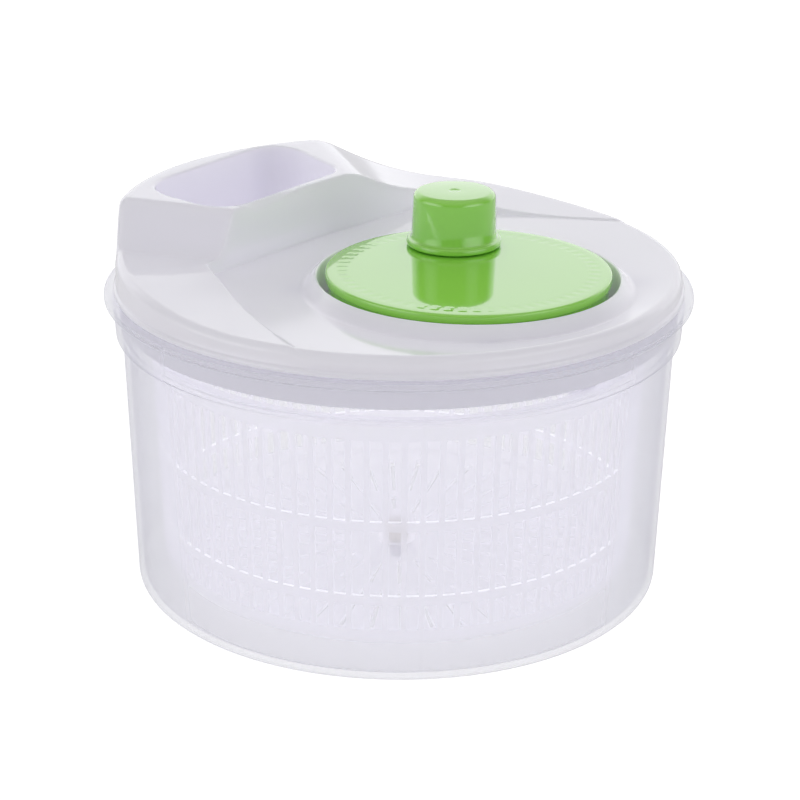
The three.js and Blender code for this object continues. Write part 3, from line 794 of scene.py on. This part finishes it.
# ---------- Crank disc and knob ----------


def disc_top(radius, angle):
    """How far the sink marks over the moulded teeth lower the disc's top face."""
    if not SINK_INNER < radius < SINK_OUTER:
        return 0
    share = (radius - SINK_INNER) / (SINK_OUTER - SINK_INNER)
    across = 0.5 + 0.5 * math.cos(TEETH * angle)
    return SINK_DEPTH * ease(across * 1.6 - 0.3) * ease(share * 4) * ease((1 - share) * 4)


def make_disc():
    """The crank disc: flat top with sink marks over its teeth, internal gear, hub, stub and post."""
    top, under = DISC_TOP, DISC_UNDER
    fillet, chamfer = 0.9, 0.4
    profile = [(r, top) for r in (0, 20, 40, 47.5)]
    profile += [(r, top) for r in spread(SINK_INNER - 0.2, SINK_OUTER + 0.2, 14, whole=True)]
    profile.append((55, top))
    for turn in spread(0, math.pi / 2, 6, whole=True):
        r = DISC_RADIUS - fillet + fillet * math.sin(turn)
        profile.append((r, top - fillet + fillet * math.cos(turn)))
    profile += [(DISC_RADIUS, under + chamfer), (DISC_RADIUS - chamfer, under)]
    profile += [(RING_OUTER, under), (RING_OUTER, RING_BOTTOM + chamfer)]
    profile += [(RING_OUTER - chamfer, RING_BOTTOM), (RING_INNER, RING_BOTTOM)]
    profile += [(RING_INNER, under), (DISC_HUB, under)]
    profile += [(DISC_HUB, DISC_HUB_BOTTOM + chamfer), (DISC_HUB - chamfer, DISC_HUB_BOTTOM)]
    profile += [(STUB_RADIUS, DISC_HUB_BOTTOM), (STUB_RADIUS, STUB_BOTTOM + chamfer)]
    profile += [(STUB_RADIUS - chamfer, STUB_BOTTOM), (STUB_PILOT, STUB_BOTTOM)]
    profile += [(STUB_PILOT, STUB_PILOT_TOP), (0, STUB_PILOT_TOP)]

    def place(row, column):
        angle = TURN * column / DISC_STEPS
        r, z = profile[row]
        if z == top:
            z -= disc_top(r, angle)
        return Vector((DISC_AXIS.x + r * math.cos(angle), r * math.sin(angle), z)) * MM

    piece = sleeve("crank_disc_body", len(profile), DISC_STEPS, place)
    edit(piece)
    finish_mesh(piece)
    low = under - 0.2
    outline = [
        (POST_BORE, low), (POST_RADIUS, low), (POST_RADIUS, POST_TOP, 0.5),
        (POST_HOLE, POST_TOP), (POST_HOLE, POST_SHELF), (POST_BORE, POST_SHELF),
    ]
    post = turned("post", outline, 48, KNOB_AXIS, closed=True)
    smooth(join([piece, post]))
    return dress(piece, "crank_disc", ["crank_disc"], GREEN_GLOSS)


def make_knob():
    """The knob: a cup with a bead round its foot, a gate dimple, a sleeve and a peg inside."""
    top, foot = KNOB_HIGH.z, KNOB_LOW.z
    roof = top - SKIN
    outline = [
        (0, top - 0.35), (1.6, top - 0.3, 1), (2.6, top, 0.8), (KNOB_RADIUS, top, 2.8),
        (KNOB_FOOT_RADIUS, foot + 2.9, 1.2), (KNOB_BEAD, foot + 2.8, 1), (KNOB_BEAD, foot, 1),
        (15.4, foot, 0.5), (14.6, roof - 0.6, 2), (SLEEVE_RADIUS, roof - 0.6, 1),
        (SLEEVE_RADIUS, SLEEVE_BOTTOM, 0.5), (SLEEVE_BORE, SLEEVE_BOTTOM, 0.5), (SLEEVE_BORE, roof),
        (PEG_RADIUS, roof), (PEG_RADIUS, PEG_BOTTOM, 0.4), (PEG_PILOT, PEG_BOTTOM),
        (PEG_PILOT, PEG_PILOT_TOP), (0, PEG_PILOT_TOP),
    ]
    piece = turned("knob_cup", outline, 128, KNOB_AXIS, segments=6)
    return dress(piece, "knob", ["knob"], GREEN_GLOSS)


# ---------- Stage ----------

VIEW_AZIMUTH = math.radians(40)
VIEW_TILT = math.radians(68.87)
VIEW_ROLL = math.radians(0.51)
CAMERA_PLACE = (0.5734, -0.6833, 0.421)
LENS = 101


def make_studio():
    """Plain pale floor and soft studio light."""
    bpy.ops.object.select_all(action="DESELECT")
    bpy.ops.mesh.primitive_plane_add(size=30, location=(0, 0, -0.0005))
    floor = bpy.context.object
    floor.name = "studio_floor"
    material, tree, _ = new_material("pale_floor")
    seen = node(tree, "ShaderNodeLightPath", {}).output("Is Camera Ray")
    glow = blend_colour(tree, seen, (0.52, 0.52, 0.52, 1), (1, 1, 1, 1))
    shade(
        material, tree, Base_Color=(0.1, 0.1, 0.1, 1), Roughness=1.0,
        Emission_Color=glow, Emission_Strength=1.0,
    )
    floor.data.materials.append(material)
    world = bpy.data.worlds.new("studio")
    bpy.context.scene.world = world
    world.use_nodes = True
    tree = world.node_tree
    tree.nodes.clear()
    way = node(tree, "ShaderNodeTexCoord", {})
    parts = node(tree, "ShaderNodeSeparateXYZ", {}, way.output("Generated"))
    x, y, z = (parts.output(axis) for axis in "XYZ")
    ahead = x * -math.sin(VIEW_AZIMUTH) + y * math.cos(VIEW_AZIMUTH)
    side = x * math.cos(VIEW_AZIMUTH) + y * math.sin(VIEW_AZIMUTH)
    backdrop = ((ahead - 0.3) * 3).clamped() * ((0.75 - z) * 4).clamped()
    low = ((0.8 - z) * 3).clamped()
    left = ((side * -0.92 - ahead * 0.39 - 0.8) * 6).clamped() * low
    right = ((side * 0.8 - ahead * 0.6 - 0.8) * 6).clamped() * low
    overhead = (z * 1.6 - 0.5).clamped()
    light = backdrop * 1.05 + left * 1.8 + right * 1.65 + overhead * 0.42 + 0.2
    background = node(tree, "ShaderNodeBackground", {}, Color=(0.98, 0.985, 1, 1), Strength=light)
    output = tree.nodes.new("ShaderNodeOutputWorld")
    tree.links.new(background.socket, output.inputs["Surface"])


def make_camera():
    """The camera: a long lens, from the front left and above."""
    data = bpy.data.cameras.new("camera")
    camera = bpy.data.objects.new("camera", data)
    bpy.context.scene.collection.objects.link(camera)
    data.lens = LENS
    data.sensor_width = 36
    data.shift_x = 0.0024
    data.clip_start = 0.01
    turn = Matrix.Rotation(VIEW_AZIMUTH, 4, "Z") @ Matrix.Rotation(VIEW_TILT, 4, "X")
    turn = turn @ Matrix.Rotation(VIEW_ROLL, 4, "Z")
    camera.matrix_world = Matrix.Translation(CAMERA_PLACE) @ turn
    bpy.context.scene.camera = camera


make_camera()
make_studio()
make_bowl()
make_basket()
make_lid()
make_disc()
make_knob()

bpy.context.scene.view_settings.view_transform = "Standard"
bpy.context.scene.cycles.transparent_max_bounces = 32
bpy.context.scene.cycles.diffuse_bounces = 8

INNER = {
    "gear_tray": WHITE_SATIN, "drive_spider": WHITE_SATIN, "basket_bush": ACETAL, "disc_bush": ACETAL,
    "shaft_bush": ACETAL, "pinion": ACETAL,
}
for name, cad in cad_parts.items():
    if not cad.hide_render:
        cad.data.materials.clear()
        cad.data.materials.append(INNER.get(name, STEEL))
